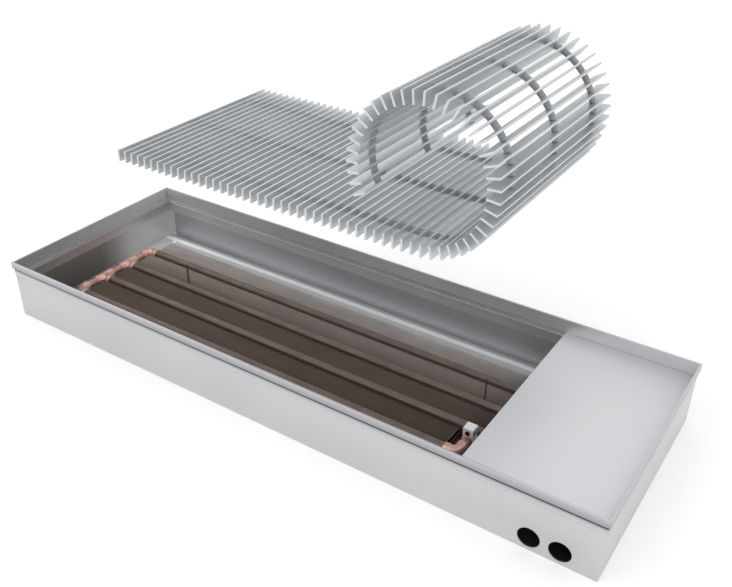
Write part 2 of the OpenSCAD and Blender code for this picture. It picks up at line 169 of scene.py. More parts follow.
class ShaderTree:
    """The node tree of one finish while it is written."""

    def __init__(self, name: str) -> None:
        """Starts a material with its surface shader.

        Args:
            name: The material's name.
        """
        self.material = bpy.data.materials.new(name)
        self.material.use_nodes = True
        self.tree = self.material.node_tree
        self.surface = self.tree.nodes["Principled BSDF"]
        self.place = self.add("ShaderNodeTexCoord").outputs["Object"]

    def add(
        self, kind: str, inputs: Optional[dict] = None, **settings: object
    ) -> bpy.types.Node:
        """Adds a node.

        Args:
            kind: The node's type.
            inputs: Sockets to link, or values to set, by input name or index.
            **settings: The node's own properties.

        Returns:
            The new node.
        """
        node = self.tree.nodes.new(kind)
        for name, value in settings.items():
            setattr(node, name, value)
        for key, value in (inputs or {}).items():
            if isinstance(value, Socket):
                self.tree.links.new(value, node.inputs[key])
            else:
                node.inputs[key].default_value = value
        return node

    def noise(self, pattern: Pattern) -> Socket:
        """Adds a noise on object coordinates.

        Args:
            pattern: Its scale and detail.

        Returns:
            The noise's value, from 0 to 1.
        """
        mapped = self.add("ShaderNodeMapping", {"Vector": self.place, "Scale": pattern.scale})
        inputs = {
            "Vector": mapped.outputs["Vector"],
            "Scale": 1.0,
            "Detail": pattern.detail,
            "Roughness": pattern.roughness,
        }
        return self.add("ShaderNodeTexNoise", inputs).outputs["Fac"]

    def ramp(self, factor: Socket, stops: Sequence[tuple[float, Colour]]) -> Socket:
        """Adds a colour ramp.

        Args:
            factor: What the ramp reads.
            stops: Pairs of place and colour, from low to high.

        Returns:
            The ramp's colour.
        """
        node = self.add("ShaderNodeValToRGB", {"Fac": factor})
        elements = node.color_ramp.elements
        while len(elements) < len(stops):
            elements.new(0.5)
        for element, (place, colour) in zip(elements, stops):
            element.position = place
            element.color = (*colour, 1.0)
        return node.outputs["Color"]

    def spread(self, factor: Socket, low: float, high: float) -> Socket:
        """Spreads the middle half of a noise over a range of values.

        Args:
            factor: The noise.
            low: The value at a low noise.
            high: The value at a high noise.

        Returns:
            The value in that range.
        """
        start, end = NOISE_MIDDLE
        inputs = {"Value": factor, "From Min": start, "From Max": end, "To Min": low, "To Max": high}
        return self.add("ShaderNodeMapRange", inputs).outputs["Result"]

    def coordinate(self, axis: str) -> Socket:
        """Gives a point's place along the axis X, Y or Z, in metres."""
        return self.add("ShaderNodeSeparateXYZ", {"Vector": self.place}).outputs[axis]

    def along(self, axis: str, start: float, end: float) -> Socket:
        """Gives how far a point lies from one place to another.

        Args:
            axis: X, Y or Z.
            start: The place that gives 0, in metres.
            end: The place that gives 1, in metres.

        Returns:
            The share, from 0 to 1.
        """
        inputs = {"Value": self.coordinate(axis), "From Min": start, "From Max": end}
        return self.add("ShaderNodeMapRange", inputs).outputs["Result"]

    def graded(self, axis: str, tones: Tones) -> Socket:
        """Gives a tone that changes along an axis.

        Args:
            axis: X, Y or Z.
            tones: Pairs of place, in metres, and hex colour, from low to high.

        Returns:
            The tone.
        """
        low, high = tones[0][0], tones[-1][0]
        stops = [((place - low) / (high - low), linear(tone)) for place, tone in tones]
        return self.ramp(self.along(axis, low, high), stops)

    def blend(self, factor: Number, low: Tint, high: Tint, mode: str = "MIX") -> Socket:
        """Blends two colours.

        Args:
            factor: 0 for the first colour, 1 for the blend with the second.
            low: The first colour.
            high: The second colour.
            mode: The kind of blend.

        Returns:
            The blended colour.
        """
        inputs = {0: factor, 6: low, 7: high}
        node = self.add("ShaderNodeMix", inputs, data_type="RGBA", blend_type=mode)
        return node.outputs[2]

    def bump(self, height: Socket, depth: float, before: Optional[Socket] = None) -> Socket:
        """Adds a bump.

        Args:
            height: The surface's height, from 0 to 1.
            depth: What a height of 1 stands for, in metres.
            before: A normal to add this bump to.

        Returns:
            The bumped normal.
        """
        inputs = {"Height": height, "Distance": depth, "Strength": 1.0}
        if before is not None:
            inputs["Normal"] = before
        return self.add("ShaderNodeBump", inputs).outputs["Normal"]

    def give(self, name: str, source: Socket) -> None:
        """Links a socket to one of the surface shader's inputs."""
        self.tree.links.new(source, self.surface.inputs[name])

    def set(self, name: str, value: float) -> None:
        """Sets one of the surface shader's inputs to a value that is the same all over."""
        self.surface.inputs[name].default_value = value


# Painted shade on the rim's outer face by height: the web darkening towards the band, a dark painted
# shadow line under the band, the band darker downward and a painted highlight at its top edge.
RIM_PAINTED_SHADE_BANDS = (
    (0.0750, "D8D8DA"),
    (0.0765, "D2D2D4"),
    (0.0800, "C4C4C6"),
    (0.0830, "ACACAF"),
    (0.0836, "4A4A4E"),
    (0.0874, "4A4A4E"),
    (0.0878, "A4A4A8"),
    (0.0970, "BCBCC0"),
    (0.0977, "CACACC"),
)


@dataclass(frozen=True)
class MetalFinish:
    """A bare metal with a cloudy tone, a fine grain and an uneven gloss.

    Attributes:
        name: The material's name.
        dark: Its darker tone, as a hex colour.
        light: Its lighter tone, as a hex colour.
        metallic: How much of the surface is bare metal rather than its dull oxide.
        gloss: The roughness at its smoothest and at its roughest.
        cloud: Tone patches per metre.
        run: The direction of its grain.
        grain_depth: The depth of the grain, in metres.
    """

    name: str
    dark: str
    light: str
    metallic: float = 0.8
    gloss: tuple[float, float] = (0.3, 0.45)
    cloud: float = 9.0
    run: Run = Run.EVEN
    grain_depth: float = 0.02 * MM

    def build(self) -> bpy.types.Material:
        """Builds the material."""
        shader = ShaderTree(self.name)
        clouds = shader.noise(Pattern(alike(self.cloud), *CLOUD_DETAIL))
        grain = shader.noise(Pattern(self.run.value, *GRAIN_DETAIL))
        low, high = CLOUD_STOPS
        tone = shader.ramp(clouds, ((low, linear(self.dark)), (high, linear(self.light))))
        shader.give("Base Color", self.tinted(shader, tone))
        shader.set("Metallic", self.metallic)
        shader.give("Roughness", shader.spread(clouds, *self.gloss))
        shader.give("Normal", shader.bump(grain, self.grain_depth))
        return shader.material

    def tinted(self, shader: ShaderTree, tone: Socket) -> Socket:
        """Gives the base colour that is made of the cloudy tone.

        Args:
            shader: The finish's node tree.
            tone: The cloudy tone.

        Returns:
            The base colour, which is the tone itself here.
        """
        return tone


@dataclass(frozen=True)
class RimFinish(MetalFinish):
    """The rim's metal, whose outer face carries painted shade: a painted highlight at the top, the band
    darker downward, a painted shadow line under it and painted shade on the web below.

    Attributes:
        side: The axis that the outer face looks along.
        outer: Distance of the outer face from the origin, less a margin.
        painted_shade_bands: Pairs of Z and the outer face's painted shade or highlight there, from the
            bottom to the top.
    """

    side: str = "Y"
    outer: float = 0.0
    painted_shade_bands: Tones = RIM_PAINTED_SHADE_BANDS

    def tinted(self, shader: ShaderTree, tone: Socket) -> Socket:
        """Lays the painted shade and highlight over the tone on the outer face."""
        painted_shade_bands = shader.graded("Z", self.painted_shade_bands)
        reach = shader.add("ShaderNodeMath", {0: shader.coordinate(self.side)}, operation="ABSOLUTE")
        compared = {0: reach.outputs[0], 1: self.outer}
        outside = shader.add("ShaderNodeMath", compared, operation="GREATER_THAN")
        return shader.blend(outside.outputs[0], tone, painted_shade_bands)


@dataclass(frozen=True)
class CopperFinish:
    """Copper with a dark tarnish that gathers in patches.

    Attributes:
        name: The material's name.
        bright: The copper where it is bare, as a hex colour.
        tarnish: The copper where it is dull, as a hex colour.
        reach: How much of the surface the tarnish takes, from 0 to 1.
        gloss: The roughness where it is bare and where it is dull.
        metallic: How much of the surface is bare metal.
        painted_flank_shade: The painted shade on the copper's lower flank where it meets the fins, as a
            hex colour, or nothing for none.
        painted_flank_shade_z: Z up to which the painted shade is full, and Z where it ends.
    """

    name: str
    bright: str
    tarnish: str
    reach: float
    gloss: tuple[float, float] = (0.26, 0.5)
    metallic: float = 0.9
    painted_flank_shade: str = ""
    painted_flank_shade_z: tuple[float, float] = (0.0, 0.0)

    def build(self) -> bpy.types.Material:
        """Builds the material."""
        shader = ShaderTree(self.name)
        patches = shader.noise(PATCHES)
        scratches = shader.noise(SCRATCHES)
        middle = 1.0 - self.reach
        stops = (
            (max(middle - TARNISH_EDGE, 0.0), linear(self.bright)),
            (min(middle + TARNISH_EDGE, 1.0), linear(self.tarnish)),
        )
        colour = shader.ramp(patches, stops)
        # Painted shade: the copper darker on its lower flank, towards the fins.
        if self.painted_flank_shade:
            height = shader.along("Z", *self.painted_flank_shade_z)
            colour = shader.blend(height, (*linear(self.painted_flank_shade), 1.0), colour)
        shader.give("Base Color", colour)
        shader.set("Metallic", self.metallic)
        shader.give("Roughness", shader.spread(patches, *self.gloss))
        fine = shader.bump(scratches, SCRATCH_DEPTH)
        shader.give("Normal", shader.bump(patches, PATCH_DEPTH, fine))
        return shader.material


@dataclass(frozen=True)
class GradedFinish:
    """Sheet or foil with painted light and shade that change from front to back, and dull patches.

    Attributes:
        name: The material's name.
        tones: Pairs of Y and the painted light or shade there as a hex colour, from front to back.
        dull: How bright its dull patches are, as a share of its clean tone.
        metallic: How much of the surface is bare metal.
        gloss: The roughness at its smoothest and at its roughest.
        cloud: Patches per metre along X, Y and Z.
        painted_shade_x: X from which painted shade darkens it, and X where it is darkest, or nothing.
        painted_shade_share: Its darkest painted shade there, as a share of its tone elsewhere.
    """

    name: str
    tones: Tones
    dull: float = 0.8
    metallic: float = 0.6
    gloss: tuple[float, float] = (0.34, 0.5)
    cloud: Triple = (16.0, 70.0, 70.0)
    painted_shade_x: Optional[tuple[float, float]] = None
    painted_shade_share: float = 0.15

    def build(self) -> bpy.types.Material:
        """Builds the material."""
        shader = ShaderTree(self.name)
        # Painted light and shade that change from front to back.
        tone = shader.graded("Y", self.tones)
        clouds = shader.noise(Pattern(self.cloud, *DULL_DETAIL))
        low, high = CLOUD_STOPS
        patches = shader.ramp(clouds, ((low, alike(self.dull)), (high, alike(1.0))))
        colour = shader.blend(1.0, tone, patches, "MULTIPLY")
        # Painted shade: darker from a given X on, where the floor lies under the cover plate.
        if self.painted_shade_x:
            under = shader.along("X", *self.painted_shade_x)
            shade = shader.ramp(under, ((0.0, alike(1.0)), (1.0, alike(self.painted_shade_share))))
            colour = shader.blend(1.0, colour, shade, "MULTIPLY")
        shader.give("Base Color", colour)
        shader.set("Metallic", self.metallic)
        shader.give("Roughness", shader.spread(clouds, *self.gloss))
        return shader.material


@dataclass(frozen=True)
class MouldedFinish:
    """A moulded plastic or rubber with a fine texture and faint scuffs.

    Attributes:
        name: The material's name.
        colour: Its colour, as a hex colour.
        scuffed: Its colour where it is rubbed, as a hex colour.
        gloss: The roughness at its smoothest and at its roughest.
        texture: The texture's bumps per metre.
        index: Its refractive index, where 1 gives no sheen.
    """

    name: str
    colour: str
    scuffed: str
    gloss: tuple[float, float] = (0.4, 0.6)
    texture: float = 1800.0
    index: float = 1.48

    def build(self) -> bpy.types.Material:
        """Builds the material."""
        shader = ShaderTree(self.name)
        scuffs = shader.noise(SCUFFS)
        texture = shader.noise(Pattern(alike(self.texture), TEXTURE_DETAIL))
        low, high = SCUFF_STOPS
        tone = shader.ramp(scuffs, ((low, linear(self.colour)), (high, linear(self.scuffed))))
        shader.give("Base Color", tone)
        shader.give("Roughness", shader.spread(scuffs, *self.gloss))
        shader.give("Normal", shader.bump(texture, TEXTURE_DEPTH))
        shader.set("IOR", self.index)
        return shader.material


# Painted light and shade on the tray's floor by Y: painted shade at the front, lighter towards the
# back, a painted highlight strip near the back wall and a little painted shade at its foot.
FLOOR_PAINTED_LIGHT = (
    (-0.17, "6E6A66"),
    (0.0, "9A9896"),
    (0.08, "E2E2E3"),
    (0.12, "D2D2D4"),
    (0.1515, "CECED0"),
    (0.1535, "FEFEFE"),
    (0.161, "FEFEFE"),
    (0.164, "C0C0C2"),
    (0.17, "C0C0C2"),
)
# Painted light and shade on the left end wall by Y: darker at the front, lighter towards the back.
LEFT_WALL_PAINTED_LIGHT = ((-0.17, "8A8886"), (0.0, "908F8E"), (0.07, "D4D5D6"), (0.17, "DEDFE0"))
# Painted light and shade on the fins by Y: darker at the front, lighter towards the back.
FIN_PAINTED_LIGHT = (
    (-0.137, "A49285"),
    (-0.0085, "9C8B80"),
    (0.019, "A89A8F"),
    (0.046, "C6B9B0"),
    (0.085, "EAE2DD"),
    (0.12, "F0ECE9"),
)


@dataclass(frozen=True)
class Finishes:
    """Every finish of the heater, built once."""

    sheet: MetalFinish = MetalFinish(
        "galvanised_sheet", "C6C7C9", "CFD0D1", 0.6, (0.26, 0.36), 5.0
    )
    # The back wall is shown with a darker copy of the sheet: painted shade on the tray's inside.
    back_wall: MetalFinish = replace(sheet, name="back_wall_sheet_painted_shade", dark="B2B3B6", light="BABBBE")
    # The floor's tones by Y are painted light and shade, and it carries painted shade under the cover
    # plate.
    floor: GradedFinish = GradedFinish(
        "floor_sheet_painted_light", FLOOR_PAINTED_LIGHT, 0.96, 0.1, (0.35, 0.5), alike(7.0), (0.33, 0.36)
    )
    # The left end wall's tones by Y are painted light and shade.
    left_wall: GradedFinish = GradedFinish(
        "left_wall_sheet_painted_light", LEFT_WALL_PAINTED_LIGHT, 0.94, 0.5, (0.3, 0.42), alike(5.0)
    )
    cover: MetalFinish = MetalFinish(
        "satin_cover", "DBDBDF", "E0E0E3", 0.5, (0.38, 0.5), 4.0, Run.ALONG_Y
    )
    # The rims' outer faces carry painted shade and highlight by height, over their own grain and tone.
    rim_x: RimFinish = RimFinish(
        "rim_grain_along_x_painted_shade", "C8C9CB", "D3D4D6", 0.6, (0.26, 0.36), 6.0, Run.ALONG_X, outer=0.1725
    )
    rim_y: RimFinish = replace(
        rim_x, name="rim_grain_along_y_painted_shade", run=Run.ALONG_Y, side="X", outer=0.4975
    )
    slat: MetalFinish = MetalFinish(
        "anodised_slat", "CDD1D3", "D9DCDE", 0.55, (0.3, 0.4), 12.0, Run.ALONG_Y
    )
    # The fins' tones by Y are painted light and shade.
    fin: GradedFinish = GradedFinish("fin_foil_painted_light", FIN_PAINTED_LIGHT, metallic=0.3)
    bracket: MetalFinish = MetalFinish(
        "bracket_steel", "5E504A", "6C5D56", 0.4, (0.4, 0.55), 40.0
    )
    spring: MetalFinish = MetalFinish(
        "spring_steel", "8A8D90", "A6A9AC", 0.95, (0.25, 0.4), 40.0, Run.ALONG_X
    )
    solder: MetalFinish = MetalFinish("solder", "B5ABA6", "CFC6C1", 0.8, (0.3, 0.5), 160.0)
    # Near-black brass without sheen: painted shade that keeps the pipe holes dark.
    brass: MouldedFinish = MouldedFinish(
        "brass_painted_shade_black", "020202", "040303", (0.9, 1.0), index=1.0
    )
    fitting: CopperFinish = CopperFinish("fitting_copper", "E8BDB0", "B48B7E", 0.42, metallic=0.7)
    pipe: CopperFinish = CopperFinish("pipe_copper", "CFA393", "96786A", 0.45, metallic=0.7)
    # The tubes carry painted shade on their lower flanks where they meet the fins.
    tube: CopperFinish = CopperFinish(
        "tube_copper", "7C6D63", "66574E", 0.5, (0.35, 0.55), 0.3, "46382F", (0.0222, 0.0258)
    )
    spacer: MouldedFinish = MouldedFinish("spacer_grey", "A2A4A8", "B2B4B7")
    strip: MouldedFinish = MouldedFinish("strip_grey", "8E8E91", "9C9C9E", (0.6, 0.8))
    vent: MouldedFinish = MouldedFinish("vent_white", "ECECEA", "F4F4F2", (0.3, 0.45))
    screw: MouldedFinish = MouldedFinish("vent_black", "151516", "2A2A2B", (0.4, 0.55))
    supply: MouldedFinish = MouldedFinish("wheel_red", "A3201D", "B5423B")
    back: MouldedFinish = MouldedFinish("wheel_blue", "1F4E9A", "3A66AA")


class Palette:
    """Builds each finish when it is first asked for."""

    def __init__(self, finishes: Finishes) -> None:
        """Keeps the finishes.

        Args:
            finishes: The heater's finishes.
        """
        self.finishes = finishes
        self.made: dict[str, bpy.types.Material] = {}

    def __getitem__(self, name: str) -> bpy.types.Material:
        """Gives the material of a finish by its field's name."""
        if name not in self.made:
            self.made[name] = getattr(self.finishes, name).build()
        return self.made[name]


def new_object(name: str, mesh: bpy.types.Mesh) -> bpy.types.Object:
    """Links a new object at the origin that shows a mesh."""
    made = bpy.data.objects.new(name, mesh)
    bpy.context.scene.collection.objects.link(made)
    return made


def settle(made: bpy.types.Object) -> bpy.types.Object:
    """Turns an object with modifiers into one with a plain mesh.

    Args:
        made: The object with live modifiers.

    Returns:
        The same object, with its evaluated mesh and no modifiers.
    """
    bpy.context.view_layer.update()
    depsgraph = bpy.context.evaluated_depsgraph_get()
    mesh = bpy.data.meshes.new_from_object(
        made.evaluated_get(depsgraph), preserve_all_data_layers=True, depsgraph=depsgraph
    )
    mesh.name = made.name
    made.modifiers.clear()
    made.data = mesh
    return made


def install(
    made: bpy.types.Object, body: str, slot: Slot, stands_for: Iterable[str] = ()
) -> bpy.types.Object:
    """Puts a finished piece on its body.

    Args:
        made: The piece, at the origin.
        body: The body that it rides on.
        slot: The record's slot of its finish; not used.
        stands_for: The CAD nodes that it takes the place of.

    Returns:
        The piece.
    """
    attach(made, body)
    nodes = tuple(stands_for)
    if nodes:
        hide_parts(*nodes)
    log.info("%s on %s: %d faces", made.name, body, len(made.data.polygons))
    return made


def softened(
    node: str, material: bpy.types.Material, edge: float, segments: int = 2
) -> bpy.types.Object:
    """Copies a CAD node with its sharp edges rounded.

    Args:
        node: The CAD node.
        material: Its finish.
        edge: The radius of the rounded edges, in metres.
        segments: Faces across a rounded edge.

    Returns:
        The new piece, not yet on a body.
    """
    name = f"{node}_shown"
    mesh = bpy.data.meshes.new(name)
    shape = bmesh.new()
    shape.from_mesh(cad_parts[node].data)
    bmesh.ops.remove_doubles(shape, verts=shape.verts, dist=MERGE_DISTANCE)
    bmesh.ops.dissolve_limit(
        shape, angle_limit=FLAT_ANGLE, verts=shape.verts, edges=shape.edges
    )
    shape.to_mesh(mesh)
    shape.free()
    mesh.materials.clear()
    mesh.materials.append(material)
    for polygon in mesh.polygons:
        polygon.use_smooth = True
        polygon.material_index = 0
    made = new_object(name, mesh)
    bevel = made.modifiers.new("rounded_edges", "BEVEL")
    bevel.width = edge
    bevel.segments = segments
    bevel.limit_method = "ANGLE"
    bevel.angle_limit = EDGE_ANGLE
    bevel.harden_normals = True
    return settle(made)


def dress(
    node: str,
    material: bpy.types.Material,
    body: Body,
    slot: Slot,
    edge: float,
    segments: int = 2,
) -> None:
    """Shows a CAD node with rounded edges, in its place.

    Args:
        node: The CAD node.
        material: Its finish.
        body: The body that it rides on.
        slot: The record's slot of its finish.
        edge: The radius of the rounded edges, in metres.
        segments: Faces across a rounded edge.
    """
    install(softened(node, material, edge, segments), body.value, slot, (node,))


@dataclass(frozen=True)
class Ring:
    """One ring of a tube's skin.

    Attributes:
        centre: Its centre.
        along: The tube's direction there.
        radius: Its radius, or a function of the angle round it.
    """

    centre: Vector
    along: Vector
    radius: Radius


def skin(shape: bmesh.types.BMesh, rings: Sequence[Ring], sides: int = 32) -> None:
    """Adds a closed tube through a row of rings to a shape.

    Args:
        shape: The shape to add to.
        rings: The rings from one end to the other.
        sides: Corners of each ring.
    """
    rows = []
    for ring in rings:
        along = ring.along.normalized()
        side = UP.cross(along)
        if side.length < MERGE_DISTANCE:
            side = ACROSS_X.copy()
        side.normalize()
        over = along.cross(side)
        row = []
        for step in range(sides):
            angle = math.tau * step / sides
            radius = ring.radius(angle) if callable(ring.radius) else ring.radius
            place = ring.centre + radius * (math.cos(angle) * side + math.sin(angle) * over)
            row.append(shape.verts.new(place))
        rows.append(row)
    for near, far in zip(rows, rows[1:]):
        for step in range(sides):
            after = (step + 1) % sides
            face = shape.faces.new((near[step], near[after], far[after], far[step]))
            face.smooth = True
    shape.faces.new(tuple(reversed(rows[0])))
    shape.faces.new(tuple(rows[-1]))


def shaped(
    name: str, shape: bmesh.types.BMesh, material: bpy.types.Material
) -> bpy.types.Object:
    """Makes an object of a finished shape, with creases only at its sharp edges.

    Args:
        name: The piece's name.
        shape: Its shape, which is freed.
        material: Its finish.

    Returns:
        The new object.
    """
    bmesh.ops.recalc_face_normals(shape, faces=shape.faces)
    mesh = bpy.data.meshes.new(name)
    shape.to_mesh(mesh)
    shape.free()
    mesh.materials.append(material)
    mesh.set_sharp_from_angle(angle=CREASE_ANGLE)
    return new_object(name, mesh)


class GeometryTree:
    """A Geometry Nodes tree while it is written."""

    def __init__(self, name: str) -> None:
        """Starts a tree with one geometry output.

        Args:
            name: The tree's name.
        """
        self.tree = bpy.data.node_groups.new(name, "GeometryNodeTree")
        for side in ("INPUT", "OUTPUT"):
            self.tree.interface.new_socket(
                name="Geometry", in_out=side, socket_type="NodeSocketGeometry"
            )
        self.entry = self.tree.nodes.new("NodeGroupInput")
        self.exit = self.tree.nodes.new("NodeGroupOutput")
        self.identifiers: dict[str, str] = {}

    def size(self, name: str, kind: str = "Float") -> Socket:
        """Adds a named input.

        Args:
            name: The input's name.
            kind: Float, Int or Material.

        Returns:
            The socket that carries it inside the tree.
        """
        made = self.tree.interface.new_socket(
            name=name, in_out="INPUT", socket_type=f"NodeSocket{kind}"
        )
        self.identifiers[name] = made.identifier
        return self.entry.outputs[name]

    def sizes(self, *names: str) -> list[Socket]:
        """Adds named inputs that hold lengths or places."""
        return [self.size(name) for name in names]

    def add(self, kind: str, inputs: Optional[dict] = None, **settings: object) -> Socket:
        """Adds a node.

        Args:
            kind: The node's type.
            inputs: Sockets to link, or values to set, by input name or index.
            **settings: The node's own properties.

        Returns:
            The node's first output.
        """
        node = self.tree.nodes.new(kind)
        for name, value in settings.items():
            setattr(node, name, value)
        for key, value in (inputs or {}).items():
            if isinstance(value, Socket):
                self.tree.links.new(value, node.inputs[key])
            elif isinstance(value, (list, tuple)) and isinstance(value[0], Socket):
                for one in value:
                    self.tree.links.new(one, node.inputs[key])
            else:
                node.inputs[key].default_value = value
        return node.outputs[0]

    def maths(self, operation: str, first: Number, second: Number) -> Socket:
        """Adds a calculation with two values."""
        return self.add("ShaderNodeMath", {0: first, 1: second}, operation=operation)

    def vector(self, x: Number = 0.0, y: Number = 0.0) -> Socket:
        """Joins two values and a Z of zero to a vector."""
        return self.add("ShaderNodeCombineXYZ", {"X": x, "Y": y})

    def repeat(self, item: Socket, count: Number, start: Socket, step: Socket) -> Socket:
        """Repeats a geometry along a line.

        Args:
            item: What is repeated.
            count: How often.
            start: The first one's place.
            step: The way from one to the next.

        Returns:
            The instances.
        """
        line = {"Count": count, "Start Location": start, "Offset": step}
        places = self.add("GeometryNodeMeshLine", line, mode="OFFSET")
        return self.add("GeometryNodeInstanceOnPoints", {"Points": places, "Instance": item})

    def close(self, geometry: Socket) -> None:
        """Ends the tree with real geometry in a finish that is one more input."""
        finish = self.size("Finish", "Material")
        real = self.add("GeometryNodeRealizeInstances", {"Geometry": geometry})
        dressed = self.add("GeometryNodeSetMaterial", {"Geometry": real, "Material": finish})
        self.tree.links.new(dressed, self.exit.inputs[0])

    def run(
        self,
        name: str,
        finish: bpy.types.Material,
        values: dict[str, float],
        mesh: Optional[bpy.types.Mesh] = None,
    ) -> bpy.types.Object:
        """Runs the tree on a new object and keeps the result as a plain mesh.

        Args:
            name: The piece's name.
            finish: Its finish.
            values: The named inputs' values.
            mesh: What the tree's geometry input gets.

        Returns:
            The piece.
        """
        made = new_object(name, mesh or bpy.data.meshes.new(name))
        modifier = made.modifiers.new("repeated", "NODES")
        modifier.node_group = self.tree
        modifier[self.identifiers["Finish"]] = finish
        for key, value in values.items():
            modifier[self.identifiers[key]] = value
        return settle(made)


def crisp(made: bpy.types.Object, angle: float = 40.0) -> bpy.types.Object:
    """Shades a piece smooth, but keeps its flat faces flat and its sharp edges sharp.

    Args:
        made: The piece.
        angle: The least angle of a sharp edge, in degrees.

    Returns:
        The same piece.
    """
    made.data.set_sharp_from_angle(angle=math.radians(angle))
    weighted = made.modifiers.new("flat_faces", "WEIGHTED_NORMAL")
    weighted.keep_sharp = True
    return settle(made)


@dataclass
class Tray:
    """The sheet metal tray, its rim, the damping strips and the cover plate.

    Attributes:
        palette: The finishes.
        sheet_edge: Edge radius of the cut sheet.
        rim_edge: Edge radius of the rim's section.
        fold_edge: Edge radius of the cover plate's fold.
    """

    palette: Palette
    sheet_edge: float = 0.35 * MM
    rim_edge: float = 0.45 * MM
    fold_edge: float = 0.5 * MM

    def build(self) -> None:
        """Dresses the walls, the rim, the strips and the cover plate."""
        parts = (
            ("tray_floor", "floor", Slot.SHEET, self.sheet_edge),
            ("left_end_wall", "left_wall", Slot.SHEET, self.sheet_edge),
            ("back_wall", "back_wall", Slot.SHEET, self.sheet_edge),
            ("front_wall", "sheet", Slot.SHEET, self.sheet_edge),
            ("right_end_wall", "sheet", Slot.SHEET, self.sheet_edge),
            ("rim_front", "rim_x", Slot.RIM, self.rim_edge),
            ("rim_back", "rim_x", Slot.RIM, self.rim_edge),
            ("rim_left", "rim_y", Slot.RIM, self.rim_edge),
            ("rim_right", "rim_y", Slot.RIM, self.rim_edge),
            ("seat_strips", "strip", Slot.STRIP, self.sheet_edge),
            ("cover_plate", "cover", Slot.COVER, self.fold_edge),
        )
        for node, finish, slot, edge in parts:
            dress(node, self.palette[finish], Body.TRAY, slot, edge)


